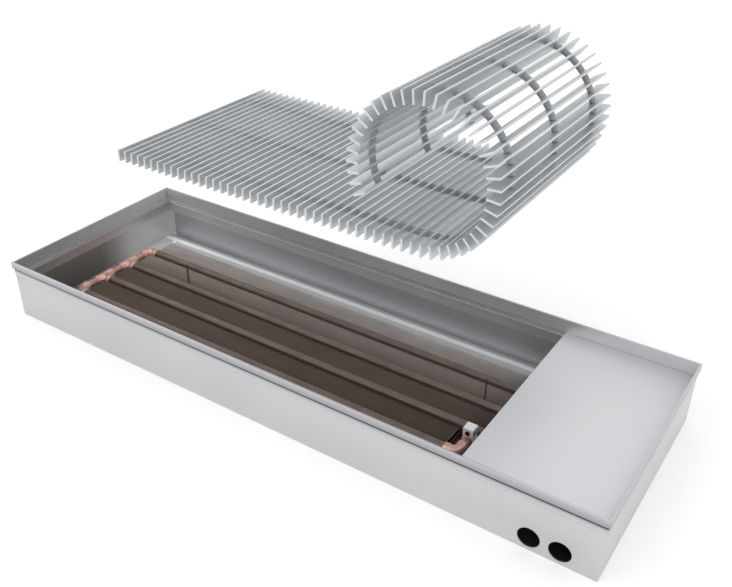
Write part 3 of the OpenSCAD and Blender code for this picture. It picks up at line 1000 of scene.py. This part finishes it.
@dataclass
class Exchanger:
    """The finned copper heat exchanger and the pipes that lead to the valves.

    Attributes:
        palette: The finishes.
        rows: Y of the four tubes.
        height: Z of the tubes' centre lines.
        pipe_r: Radius of the pipes.
        fitting_r: Radius of the fittings' sockets.
        neck_r: Radius of a fitting between its sockets.
        arm: Distance from a fitting's centre to its mouth.
        socket: Depth of a socket.
        lip: Depth of the rounded lip at a socket's mouth.
        bend: Bend radius of an elbow.
        header: X of the left header.
        front_end: X of the front tube's end elbow.
        back_header: X of the header under the cover.
        returning: X of the return pipe.
        supplying: X of the supply pipe.
        stub_y: Y where the vent's stub ends.
        valve_y: Y where the pipes enter the valves.
        fin_pitch: Distance from one fin to the next.
        fin_t: Thickness of a fin.
        fin_z: Z of the fins' lower and upper edges.
        header_fins: X of the first and last fin round the left header's fittings.
        long_fins: X of the first and last other long fin.
        short_fins: X of the first and last short fin.
        long_y: Y of a long fin's front and back edges.
        short_y: Y of a short fin's front and back edges.
        notch_gap: Gap between a fin's notch and the pipe in it.
        tee_fillet: Radius of the fillet between a tee's branch and its run.
        branch_inset: How much thinner a tee's branch is than its run.
        branch_steps: Millimetres from the run's centre line to each of the branch's rings.
        solder_width: Width of a ring of solder.
        solder_gap: Gap between a ring of solder and the pipe.
        solder_set: How deep a ring of solder is set into the mouth.
        solder_crease: The least angle of a solder ring's sharp edge, in degrees.
        solder_sides: Faces round a ring of solder.
        solder_steps: Faces across a ring of solder.
        bracket_edge: Edge radius of the brackets.
        pipe_sides: Faces round a pipe.
        turns: Faces along an elbow's bend and round a fin's notch.
    """

    palette: Palette
    rows: tuple[float, ...] = (-0.091, -0.036, 0.019, 0.074)
    height: float = 0.019
    pipe_r: float = 7.5 * MM
    fitting_r: float = 9.1 * MM
    neck_r: float = 8.6 * MM
    arm: float = 19 * MM
    socket: float = 8 * MM
    lip: float = 0.5 * MM
    bend: float = 11 * MM
    header: float = -0.454
    front_end: float = 0.271
    back_header: float = 0.340
    returning: float = 0.410
    supplying: float = 0.4495
    stub_y: float = -0.055
    valve_y: float = -0.1035
    fin_pitch: float = 3.195 * MM
    fin_t: float = 0.5 * MM
    fin_z: tuple[float, float] = (0.0045, 0.020)
    header_fins: tuple[float, float] = (-0.4423, -0.4358)
    long_fins: tuple[float, float] = (-0.4323, 0.2483)
    short_fins: tuple[float, float] = (0.2505, 0.3145)
    long_y: tuple[float, float] = (-0.137, 0.120)
    short_y: tuple[float, float] = (-0.045, 0.120)
    notch_gap: float = 0.15 * MM
    tee_fillet: float = 4.5 * MM
    branch_inset: float = 0.4 * MM
    branch_steps: tuple[float, ...] = (1.0, 3.0, 5.0, 6.5, 7.5, 8.3, 9.0, 9.7, 10.5)
    solder_width: float = 0.9 * MM
    solder_gap: float = 0.02 * MM
    solder_set: float = 0.1 * MM
    solder_crease: float = 60.0
    solder_sides: int = 24
    solder_steps: int = 2
    bracket_edge: float = 0.3 * MM
    pipe_sides: int = 40
    turns: int = 10

    def build(self) -> None:
        """Builds and places all of the exchanger."""
        self.tubes()
        self.connecting_pipes()
        self.elbows()
        self.tees()
        self.solder_rings()
        self.fins()
        finish = self.palette["bracket"]
        dress("exchanger_brackets", finish, Body.TRAY, Slot.BRACKET, self.bracket_edge)

    @property
    def inside(self) -> float:
        """Gives the distance from a fitting's centre to the end of a pipe in it."""
        return self.arm - self.socket

    def at(self, x: float, y: float) -> Vector:
        """Gives a point on the pipes' level."""
        return Vector((x, y, self.height))

    def show(self, node: str, shape: bmesh.types.BMesh, finish: str, slot: Slot) -> None:
        """Puts a finished shape in a CAD node's place.

        Args:
            node: The CAD node.
            shape: The shape, which is freed.
            finish: The finish's field name.
            slot: The record's slot.
        """
        made = shaped(f"{node}_shown", shape, self.palette[finish])
        install(made, Body.TRAY.value, slot, (node,))

    def straight(self, shape: bmesh.types.BMesh, start: Vector, end: Vector) -> None:
        """Adds a straight pipe between two fittings' mouths."""
        along = end - start
        rings = [Ring(start, along, self.pipe_r), Ring(end, along, self.pipe_r)]
        skin(shape, rings, self.pipe_sides)

    def tubes(self) -> None:
        """Makes the four tubes through the fins."""
        ends = (self.front_end, self.returning, self.back_header, self.back_header)
        shape = bmesh.new()
        for row, end in zip(self.rows, ends):
            start = self.at(self.header + self.inside, row)
            self.straight(shape, start, self.at(end - self.inside, row))
        self.show("heating_tubes", shape, "tube", Slot.TUBE)

    def connecting_pipes(self) -> None:
        """Makes the headers' short pipes and the runs to the valves."""
        inside = self.inside
        front, second, third, back = self.rows
        runs = [
            (self.at(self.header, near + inside), self.at(self.header, far - inside))
            for near, far in zip(self.rows, self.rows[1:])
        ]
        runs += [
            (self.at(self.front_end, front + inside), self.at(self.front_end, self.stub_y)),
            (self.at(self.back_header, third + inside), self.at(self.back_header, back - inside)),
            (self.at(self.back_header + inside, third), self.at(self.supplying - inside, third)),
            (self.at(self.returning, self.valve_y), self.at(self.returning, second - inside)),
            (self.at(self.supplying, self.valve_y), self.at(self.supplying, third - inside)),
        ]
        shape = bmesh.new()
        for start, end in runs:
            self.straight(shape, start, end)
        self.show("connecting_pipes", shape, "pipe", Slot.COPPER)

    def socket_rings(self, centre: Vector, out: Vector, outwards: bool = False) -> list[Ring]:
        """Gives a socket's rings.

        Args:
            centre: The fitting's centre.
            out: The direction that the socket points in.
            outwards: Whether the rings run from the neck to the mouth, or else inwards.

        Returns:
            The rings, all facing the way that they run.
        """
        steps = (
            (0.0, self.fitting_r - self.lip),
            (0.5 * self.lip, self.fitting_r - 0.2 * self.lip),
            (self.lip, self.fitting_r),
            (self.socket - 3 * self.lip, self.fitting_r),
            (self.socket - 0.6 * self.lip, self.neck_r),
        )
        along = out if outwards else -out
        rings = [Ring(centre + out * (self.arm - depth), along, radius) for depth, radius in steps]
        return rings[::-1] if outwards else rings

    def elbow_places(self) -> tuple[Fitting, ...]:
        """Gives each elbow's centre and the directions of its two arms."""
        front, second, third, back = self.rows
        return (
            (self.at(self.header, back), ACROSS_X, -ACROSS_Y),
            (self.at(self.header, front), ACROSS_X, ACROSS_Y),
            (self.at(self.back_header, back), -ACROSS_X, -ACROSS_Y),
            (self.at(self.front_end, front), -ACROSS_X, ACROSS_Y),
            (self.at(self.returning, second), -ACROSS_X, -ACROSS_Y),
            (self.at(self.supplying, third), -ACROSS_X, -ACROSS_Y),
        )

    def tee_places(self) -> tuple[Fitting, ...]:
        """Gives each tee's centre and the directions of its run and its branch."""
        _, second, third, _ = self.rows
        return (
            (self.at(self.header, second), ACROSS_Y, ACROSS_X),
            (self.at(self.header, third), ACROSS_Y, ACROSS_X),
            (self.at(self.back_header, third), ACROSS_X, ACROSS_Y),
        )

    def elbow(
        self, shape: bmesh.types.BMesh, centre: Vector, first: Vector, second: Vector
    ) -> None:
        """Adds an elbow.

        Args:
            shape: The shape to add to.
            centre: Where its two centre lines meet.
            first: The direction of one arm.
            second: The direction of the other arm.
        """
        rings = self.socket_rings(centre, first)
        hub = centre + (first + second) * self.bend
        for turn in range(self.turns + 1):
            angle = math.radians(90) * turn / self.turns
            out = -second * math.cos(angle) - first * math.sin(angle)
            along = -first * math.cos(angle) + second * math.sin(angle)
            rings.append(Ring(hub + out * self.bend, along, self.neck_r))
        skin(shape, rings + self.socket_rings(centre, second, True))

    def elbows(self) -> None:
        """Makes the six elbows."""
        shape = bmesh.new()
        for place in self.elbow_places():
            self.elbow(shape, *place)
        self.show("header_elbows", shape, "fitting", Slot.COPPER)

    def tee(self, shape: bmesh.types.BMesh, centre: Vector, run: Vector, branch: Vector) -> None:
        """Adds a tee whose branch flows into its run with a fillet.

        Args:
            shape: The shape to add to.
            centre: Where its centre lines meet.
            run: The direction of the run.
            branch: The direction of the branch.
        """
        skin(shape, self.socket_rings(centre, -run) + self.socket_rings(centre, run, True))
        fillet = self.tee_fillet
        branch_r = self.neck_r - self.branch_inset

        def flared(reach: float) -> Callable[[float], float]:
            """Gives the branch's radius round its ring at a distance from the run's centre line."""

            def radius(angle: float) -> float:
                """Widens the ring towards the run's two sides."""
                side = abs(math.cos(angle))
                start = math.sqrt(self.neck_r**2 - (branch_r * math.sin(angle)) ** 2)
                left = min(max(start + fillet - reach, 0.0), fillet)
                return branch_r + (fillet - math.sqrt(fillet**2 - left**2)) * side**2

            return radius

        steps = [step * MM for step in self.branch_steps]
        rings = [Ring(centre + branch * step, branch, flared(step)) for step in steps]
        skin(shape, rings + self.socket_rings(centre, branch, True))

    def tees(self) -> None:
        """Makes the three tees."""
        shape = bmesh.new()
        for place in self.tee_places():
            self.tee(shape, *place)
        self.show("header_tees", shape, "fitting", Slot.COPPER)

    def mouths(self) -> list[tuple[Vector, Vector]]:
        """Gives each fitting's centre once for each of its mouths, with the mouth's direction."""
        mouths = []
        for centre, first, second in self.elbow_places():
            mouths += [(centre, first), (centre, second)]
        for centre, run, branch in self.tee_places():
            mouths += [(centre, -run), (centre, run), (centre, branch)]
        return mouths

    def solder_tree(self) -> GeometryTree:
        """Writes the tree that sets a ring of solder on each point, facing its way."""
        tree = GeometryTree("solder_rings")
        outer, inner, width = tree.sizes("Outer radius", "Inner radius", "Ring width")
        cone = {
            "Vertices": self.solder_sides,
            "Side Segments": self.solder_steps,
            "Radius Top": inner,
            "Radius Bottom": outer,
            "Depth": width,
        }
        ring = tree.add("GeometryNodeMeshCone", cone)
        named = {"Name": "facing"}
        facing = tree.add("GeometryNodeInputNamedAttribute", named, data_type="FLOAT_VECTOR")
        turned = tree.add("FunctionNodeAlignRotationToVector", {"Vector": facing}, axis="Z")
        places = {
            "Points": tree.entry.outputs["Geometry"],
            "Instance": ring,
            "Rotation": turned,
        }
        tree.close(tree.add("GeometryNodeInstanceOnPoints", places))
        return tree

    def solder_rings(self) -> None:
        """Makes the ring of solder at each fitting's mouth."""
        mouths = self.mouths()
        reach = self.arm - self.solder_set
        points = bpy.data.meshes.new("solder_places")
        points.from_pydata([centre + out * reach for centre, out in mouths], [], [])
        facings = points.attributes.new("facing", "FLOAT_VECTOR", "POINT")
        for index, (_, out) in enumerate(mouths):
            facings.data[index].vector = out
        values = {
            "Outer radius": self.fitting_r - self.lip,
            "Inner radius": self.pipe_r + self.solder_gap,
            "Ring width": self.solder_width,
        }
        made = self.solder_tree().run("solder_rings", self.palette["solder"], values, points)
        install(crisp(made, self.solder_crease), Body.TRAY.value, Slot.COPPER)

    def fin_outline(self, edges: tuple[float, float], inside: float) -> list[Vector]:
        """Draws a fin's outline at X = 0, with a round notch at each tube.

        Args:
            edges: Y of its front and back edges.
            inside: Radius of what the notches go round.

        Returns:
            The outline's corners.
        """
        low, high = self.fin_z
        front, back = edges
        notch = inside + self.notch_gap
        rise = high - self.height
        start = math.atan2(rise, math.sqrt(notch**2 - rise**2))
        corners = [Vector((0, front, low)), Vector((0, back, low)), Vector((0, back, high))]
        for row in reversed(self.rows):
            if row < front:
                continue
            for step in range(self.turns + 1):
                angle = start - (math.pi + 2 * start) * step / self.turns
                y = row + notch * math.cos(angle)
                z = self.height + notch * math.sin(angle)
                corners.append(Vector((0, y, z)))
        corners.append(Vector((0, front, high)))
        return corners

    def fin_tree(self) -> GeometryTree:
        """Writes the tree that gives a fin its thickness and repeats it."""
        tree = GeometryTree("fin_pack")
        count = tree.size("Fin count", "Int")
        pitch, first, thick = tree.sizes("Pitch", "First fin X", "Thickness")
        outline = tree.entry.outputs["Geometry"]
        pulled = {
            "Mesh": outline,
            "Offset": tree.vector(1.0),
            "Offset Scale": thick,
            "Individual": False,
        }
        solid = tree.add("GeometryNodeExtrudeMesh", pulled, mode="FACES")
        back = tree.add("GeometryNodeFlipFaces", {"Mesh": outline})
        closed = tree.add("GeometryNodeJoinGeometry", {"Geometry": [solid, back]})
        joined = {"Geometry": closed, "Distance": MERGE_DISTANCE}
        fin = tree.add("GeometryNodeMergeByDistance", joined)
        tree.close(tree.repeat(fin, count, tree.vector(first), tree.vector(pitch)))
        return tree

    def fins(self) -> None:
        """Makes the long fins, the short ones and those round the left header's fittings."""
        tree = self.fin_tree()
        packs = (
            ("long_fins", self.long_fins, self.long_y, self.pipe_r, ("fin_pack",)),
            ("short_fins", self.short_fins, self.short_y, self.pipe_r, ()),
            ("header_fins", self.header_fins, self.long_y, self.fitting_r, ()),
        )
        for name, (first, last), edges, inside, nodes in packs:
            mesh = bpy.data.meshes.new(name)
            shape = bmesh.new()
            corners = [shape.verts.new(corner) for corner in self.fin_outline(edges, inside)]
            shape.faces.new(corners)
            bmesh.ops.triangulate(shape, faces=shape.faces)
            shape.to_mesh(mesh)
            shape.free()
            values = {
                "Fin count": int((last - first) / self.fin_pitch) + 1,
                "Pitch": self.fin_pitch,
                "First fin X": first,
                "Thickness": self.fin_t,
            }
            made = tree.run(name, self.palette["fin"], values, mesh)
            install(made, Body.TRAY.value, Slot.FIN, nodes)


@dataclass
class Connections:
    """The air vent with its screw, and the two valves with their hand wheels.

    Attributes:
        palette: The finishes.
        block_edge: Edge radius of the vent's block.
        screw_edge: Edge radius of the vent's screw.
        valve_edge: Edge radius of the valve bodies.
        wheel_edge: Edge radius of the hand wheels.
        segments: Faces across a rounded edge.
    """

    palette: Palette
    block_edge: float = 0.8 * MM
    screw_edge: float = 0.2 * MM
    valve_edge: float = 0.4 * MM
    wheel_edge: float = 0.9 * MM
    segments: int = 3

    def build(self) -> None:
        """Dresses the vent and the valves."""
        parts = (
            ("air_vent", "vent", Body.TRAY, Slot.VENT, self.block_edge),
            ("vent_screw", "screw", Body.VENT_SCREW, Slot.SCREW, self.screw_edge),
            ("valve_bodies", "brass", Body.TRAY, Slot.BRASS, self.valve_edge),
            ("supply_knob", "supply", Body.SUPPLY, Slot.SUPPLY, self.wheel_edge),
            ("return_knob", "back", Body.RETURN, Slot.RETURN, self.wheel_edge),
        )
        for node, finish, body, slot, edge in parts:
            dress(node, self.palette[finish], body, slot, edge, self.segments)


@dataclass
class Grille:
    """The slatted grille: 40 slats that lie flat and 35 that are rolled up.

    Attributes:
        palette: The finishes.
        first: The first slat's centre.
        flat: Number of flat slats.
        rolled: Number of rolled slats.
        pitch: Distance from one slat to the next.
        length: Length of a slat.
        height: Height of a slat.
        thick: Thickness of a slat.
        edge: Radius of a slat's edges.
        edge_faces: Faces across a slat's rounded edge.
        spacer_r: Radius of the spacers.
        spacer_sides: Faces round a spacer.
        spacer_rows: Rows of spacers.
        spread: Distance from one row of spacers to the next.
        step: Turn from one rolled slat to the next, in degrees.
        bead_gap: Overlap of a rolled slat and its spacers.
        link_gap: Gap between a rolled slat's spacers and the slat before.
        spring_edge: Edge radius of the springs.
    """

    palette: Palette
    first: Vector = field(default_factory=lambda: Vector((-0.3291, 0.100, 0.2863)))
    flat: int = 40
    rolled: int = 35
    pitch: float = 13.3 * MM
    length: float = 341 * MM
    height: float = 18 * MM
    thick: float = 3 * MM
    edge: float = 0.4 * MM
    edge_faces: int = 2
    spacer_r: float = 4.5 * MM
    spacer_sides: int = 20
    spacer_rows: int = 3
    spread: float = 126 * MM
    step: float = 8.4
    bead_gap: float = 0.05 * MM
    link_gap: float = 0.3 * MM
    spring_edge: float = 0.3 * MM

    def slat_tree(self) -> GeometryTree:
        """Writes the tree that sweeps a slat's rounded section and repeats it."""
        tree = GeometryTree("grille_slats")
        count = tree.size("Slat count", "Int")
        pitch, length, height, thick, edge = tree.sizes(
            "Pitch", "Slat length", "Slat height", "Slat thickness", "Edge radius"
        )
        near = tree.vector(0.0, tree.maths("MULTIPLY", length, -0.5))
        far = tree.vector(0.0, tree.maths("MULTIPLY", length, 0.5))
        line = tree.add("GeometryNodeCurvePrimitiveLine", {"Start": near, "End": far})
        section = tree.add(
            "GeometryNodeCurvePrimitiveQuadrilateral", {"Width": thick, "Height": height}
        )
        corner = {"Curve": section, "Count": self.edge_faces, "Radius": edge}
        rounded = tree.add("GeometryNodeFilletCurve", corner, mode="POLY")
        swept = {"Curve": line, "Profile Curve": rounded, "Fill Caps": True}
        slat = tree.add("GeometryNodeCurveToMesh", swept)
        tree.close(tree.repeat(slat, count, tree.vector(), tree.vector(pitch)))
        return tree

    def spacer_tree(self) -> GeometryTree:
        """Writes the tree that sets rows of spacers between the slats."""
        tree = GeometryTree("grille_spacers")
        count = tree.size("Gap count", "Int")
        pitch, start, length, radius, spread = tree.sizes(
            "Pitch", "First spacer X", "Spacer length", "Spacer radius", "Spread"
        )
        drum = {"Vertices": self.spacer_sides, "Radius": radius, "Depth": length}
        bead = tree.add("GeometryNodeMeshCylinder", drum, fill_type="NGON")
        laid = {"Geometry": bead, "Rotation": (0.0, math.radians(90), 0.0)}
        lying = tree.add("GeometryNodeTransform", laid)
        side = tree.vector(0.0, tree.maths("MULTIPLY", spread, -(self.spacer_rows - 1) / 2))
        row = tree.repeat(lying, self.spacer_rows, side, tree.vector(0.0, spread))
        tree.close(tree.repeat(row, count, tree.vector(start), tree.vector(pitch)))
        return tree

    def turn(self, index: int) -> float:
        """Gives how far a slat is turned from the flat ones, in radians."""
        return math.radians(self.step * max(index - self.flat, 0))

    def place(self, index: int) -> Matrix:
        """Gives a slat's place and turn.

        Args:
            index: The slat's number, from 1.

        Returns:
            The matrix from a slat at the origin to its place.
        """
        x, z = (min(index, self.flat) - 1) * self.pitch, 0.0
        for link in range(self.flat + 1, index + 1):
            before, after = self.turn(link - 1), self.turn(link)
            reach = self.pitch - self.thick / 2
            x += self.thick / 2 * math.cos(before) - self.spacer_r * math.sin(before)
            z += self.thick / 2 * math.sin(before) + self.spacer_r * math.cos(before)
            x += reach * math.cos(after) + self.spacer_r * math.sin(after)
            z += reach * math.sin(after) - self.spacer_r * math.cos(after)
        turned = Matrix.Rotation(-self.turn(index), 4, "Y")
        return Matrix.Translation(self.first + Vector((x, 0.0, z))) @ turned

    def slats(self, tree: GeometryTree, name: str, count: int) -> bpy.types.Object:
        """Makes a row of slats.

        Args:
            tree: The slats' tree.
            name: The piece's name.
            count: Number of slats.

        Returns:
            The piece, with its first slat at the origin.
        """
        values = {
            "Slat count": count,
            "Pitch": self.pitch,
            "Slat length": self.length,
            "Slat height": self.height,
            "Slat thickness": self.thick,
            "Edge radius": self.edge,
        }
        return crisp(tree.run(name, self.palette["slat"], values))

    def spacers(
        self, tree: GeometryTree, name: str, count: int, start: float, length: float
    ) -> bpy.types.Object:
        """Makes rows of spacers.

        Args:
            tree: The spacers' tree.
            name: The piece's name.
            count: Number of gaps that they fill.
            start: X of the first spacer's middle, from the first slat.
            length: Length of a spacer.

        Returns:
            The piece, with the first slat's place at the origin.
        """
        values = {
            "Gap count": count,
            "Pitch": self.pitch,
            "First spacer X": start,
            "Spacer length": length,
            "Spacer radius": self.spacer_r,
            "Spread": self.spread,
        }
        return crisp(tree.run(name, self.palette["spacer"], values))

    def build(self) -> None:
        """Builds and places the flat slats, the springs and the roll."""
        slats = self.slat_tree()
        spacers = self.spacer_tree()
        row = self.slats(slats, "grille_flat_slats_shown", self.flat)
        row.data.transform(self.place(1))
        install(row, Body.GRILLE.value, Slot.GRILLE, ("grille_flat_slats",))
        gap = self.pitch - self.thick
        beads = self.spacers(
            spacers, "grille_flat_spacers_shown", self.flat - 1, self.pitch / 2, gap
        )
        beads.data.transform(self.place(1))
        install(beads, Body.GRILLE.value, Slot.SPACER, ("grille_flat_spacers",))
        finish = self.palette["spring"]
        dress("grille_springs", finish, Body.GRILLE, Slot.SPRING, self.spring_edge)
        self.roll(slats, spacers)

    def roll(self, slats: GeometryTree, spacers: GeometryTree) -> None:
        """Builds the rolled slats, each with its spacers on its own body.

        Args:
            slats: The slats' tree.
            spacers: The spacers' tree.
        """
        length = self.pitch - self.thick - self.link_gap - self.bead_gap
        middle = -(self.thick / 2 + self.bead_gap + length / 2)
        one_slat = self.slats(slats, "roll_slat", 1)
        one_row = self.spacers(spacers, "roll_spacers", 1, middle, length)
        for index in range(self.flat + 1, self.flat + self.rolled + 1):
            node = f"grille_slat_{index}"
            body = f"slat_{index}"
            slat = new_object(f"{node}_shown", one_slat.data.copy())
            slat.data.transform(self.place(index))
            install(slat, body, Slot.GRILLE, (node,))
            row = new_object(f"{node}_spacers", one_row.data.copy())
            row.data.transform(self.place(index))
            install(row, body, Slot.SPACER)
        for source in (one_slat, one_row):
            bpy.data.objects.remove(source)


@dataclass(frozen=True)
class Lamp:
    """A round or rectangular area light, out of the camera's sight.

    Attributes:
        name: Its name.
        power: Its power, in watts.
        place: Where it hangs.
        aim: The point that it looks at.
        width: Its diameter, or its size along X.
        depth: Its size along Y, or 0 for a round one.
        spread: The angle that its light fills, in degrees.
        glossy: Whether it shows in glossy surfaces.
    """

    name: str
    power: float
    place: Triple
    aim: Triple
    width: float
    depth: float = 0.0
    spread: float = 180.0
    glossy: bool = False

    def hang(self) -> None:
        """Adds the light to the scene."""
        light = bpy.data.lights.new(self.name, "AREA")
        light.energy = self.power
        light.shape = "RECTANGLE" if self.depth else "DISK"
        light.size = self.width
        if self.depth:
            light.size_y = self.depth
        light.spread = math.radians(self.spread)
        lamp = bpy.data.objects.new(self.name, light)
        bpy.context.scene.collection.objects.link(lamp)
        lamp.location = self.place
        lamp.rotation_mode = "QUATERNION"
        look = Vector(self.aim) - Vector(self.place)
        lamp.rotation_quaternion = look.to_track_quat("-Z", "Y")
        lamp.visible_camera = False
        lamp.visible_glossy = self.glossy


LAMPS = (
    Lamp("soft_key", 10.0, (-1.1, -1.6, 2.4), (0.0, 0.0, 0.1), 2.2, glossy=True),
    Lamp("trough_card", 0.014, (-0.05, 0.148, 0.26), (-0.05, 0.148, 0.0), 0.88, 0.02, 18.0),
    Lamp("corner_card", 0.025, (-0.40, 0.10, 0.25), (-0.485, 0.115, 0.0), 0.16, spread=65.0),
)


def seen(tree: bpy.types.NodeTree) -> Socket:
    """Tells the rays that show the background from those that light the object.

    Args:
        tree: The tree to add to.

    Returns:
        A value that is 1 for camera, glossy and transmission rays and 0 for others.
    """
    rays = tree.nodes.new("ShaderNodeLightPath")
    total = rays.outputs[SEEN_RAYS[0]]
    for kind in SEEN_RAYS[1:]:
        larger = tree.nodes.new("ShaderNodeMath")
        larger.operation = "MAXIMUM"
        tree.links.new(total, larger.inputs[0])
        tree.links.new(rays.outputs[kind], larger.inputs[1])
        total = larger.outputs[0]
    return total


@dataclass
class Studio:
    """A pale floor, soft light and the camera.

    Attributes:
        lens: Focal length, in millimetres.
        sensor: Width of the camera's sensor, in millimetres.
        eye: The camera's place.
        azimuth: How far the camera looks to the left of +Y, in degrees.
        elevation: How far it looks down, in degrees.
        roll: How far it is rolled, in degrees.
        fill: Strength of the world's light on the object.
        lamps: The soft key light, and two weak lights over the tray's back and its left corner.
        reach: Half the floor's width.
        drop: How far the floor lies below the tray.
        paper: The floor's darker and lighter tone.
        paper_gloss: The floor's roughness.
        lift: The light that the floor gives off to the camera, which hides its edge.
    """

    lens: float = 43.31
    sensor: float = 36.0
    eye: Vector = field(default_factory=lambda: Vector((0.6465, -0.8906, 0.8009)))
    azimuth: float = 33.08
    elevation: float = 31.57
    roll: float = 0.75
    fill: float = 0.9
    lamps: tuple[Lamp, ...] = LAMPS
    reach: float = 12.0
    drop: float = 0.4 * MM
    paper: tuple[float, float] = (0.84, 0.86)
    paper_gloss: float = 0.9
    lift: float = 0.3

    def build(self) -> None:
        """Builds the studio."""
        self.world()
        self.floor()
        for lamp in self.lamps:
            lamp.hang()
        self.camera()
        bpy.context.scene.view_settings.view_transform = "Standard"

    def world(self) -> None:
        """Lights the object evenly, and shows white to the camera and in reflections."""
        world = bpy.data.worlds.new("studio")
        bpy.context.scene.world = world
        world.use_nodes = True
        tree = world.node_tree
        background = tree.nodes["Background"]
        background.inputs["Color"].default_value = (*alike(1.0), 1.0)
        strength = tree.nodes.new("ShaderNodeMapRange")
        strength.inputs["To Min"].default_value = self.fill
        strength.inputs["To Max"].default_value = 1.0
        tree.links.new(seen(tree), strength.inputs["Value"])
        tree.links.new(strength.outputs["Result"], background.inputs["Strength"])

    def floor(self) -> None:
        """Lays a pale floor that the camera sees as white, apart from the shadow."""
        mesh = bpy.data.meshes.new("studio_floor")
        turns = ((-1, -1), (1, -1), (1, 1), (-1, 1))
        corners = [(self.reach * x, self.reach * y, -self.drop) for x, y in turns]
        mesh.from_pydata(corners, [], [range(len(corners))])
        made = new_object("studio_floor", mesh)
        shader = ShaderTree("floor_paper")
        stops = [(place, alike(tone)) for place, tone in zip(PAPER_STOPS, self.paper)]
        shader.give("Base Color", shader.ramp(shader.noise(PAPER_CLOUDS), stops))
        shader.set("Roughness", self.paper_gloss)
        shader.set("Specular IOR Level", 0.0)
        shader.surface.inputs["Emission Color"].default_value = (*alike(1.0), 1.0)
        lifted = {0: seen(shader.tree), 1: self.lift}
        lift = shader.add("ShaderNodeMath", lifted, operation="MULTIPLY")
        shader.give("Emission Strength", lift.outputs[0])
        mesh.materials.append(shader.material)

    def camera(self) -> None:
        """Sets the camera where the photograph was taken from."""
        azimuth, elevation, roll = (
            math.radians(angle) for angle in (self.azimuth, self.elevation, self.roll)
        )
        look = Vector(
            (
                -math.sin(azimuth) * math.cos(elevation),
                math.cos(azimuth) * math.cos(elevation),
                -math.sin(elevation),
            )
        )
        level = look.cross(UP).normalized()
        upright = level.cross(look)
        right = level * math.cos(roll) + upright * math.sin(roll)
        top = upright * math.cos(roll) - level * math.sin(roll)
        data = bpy.data.cameras.new("photo_camera")
        data.lens = self.lens
        data.sensor_width = self.sensor
        data.sensor_fit = "HORIZONTAL"
        camera = bpy.data.objects.new("photo_camera", data)
        bpy.context.scene.collection.objects.link(camera)
        axes = Matrix((right, top, -look)).transposed().to_4x4()
        camera.matrix_world = Matrix.Translation(self.eye) @ axes
        bpy.context.scene.camera = camera


def main() -> None:
    """Builds the heater and its studio in order."""
    logging.basicConfig(level=logging.INFO, format="%(name)s: %(message)s")
    palette = Palette(Finishes())
    Tray(palette).build()
    Exchanger(palette).build()
    Connections(palette).build()
    Grille(palette).build()
    Studio().build()


if __name__ == "__main__":
    main()
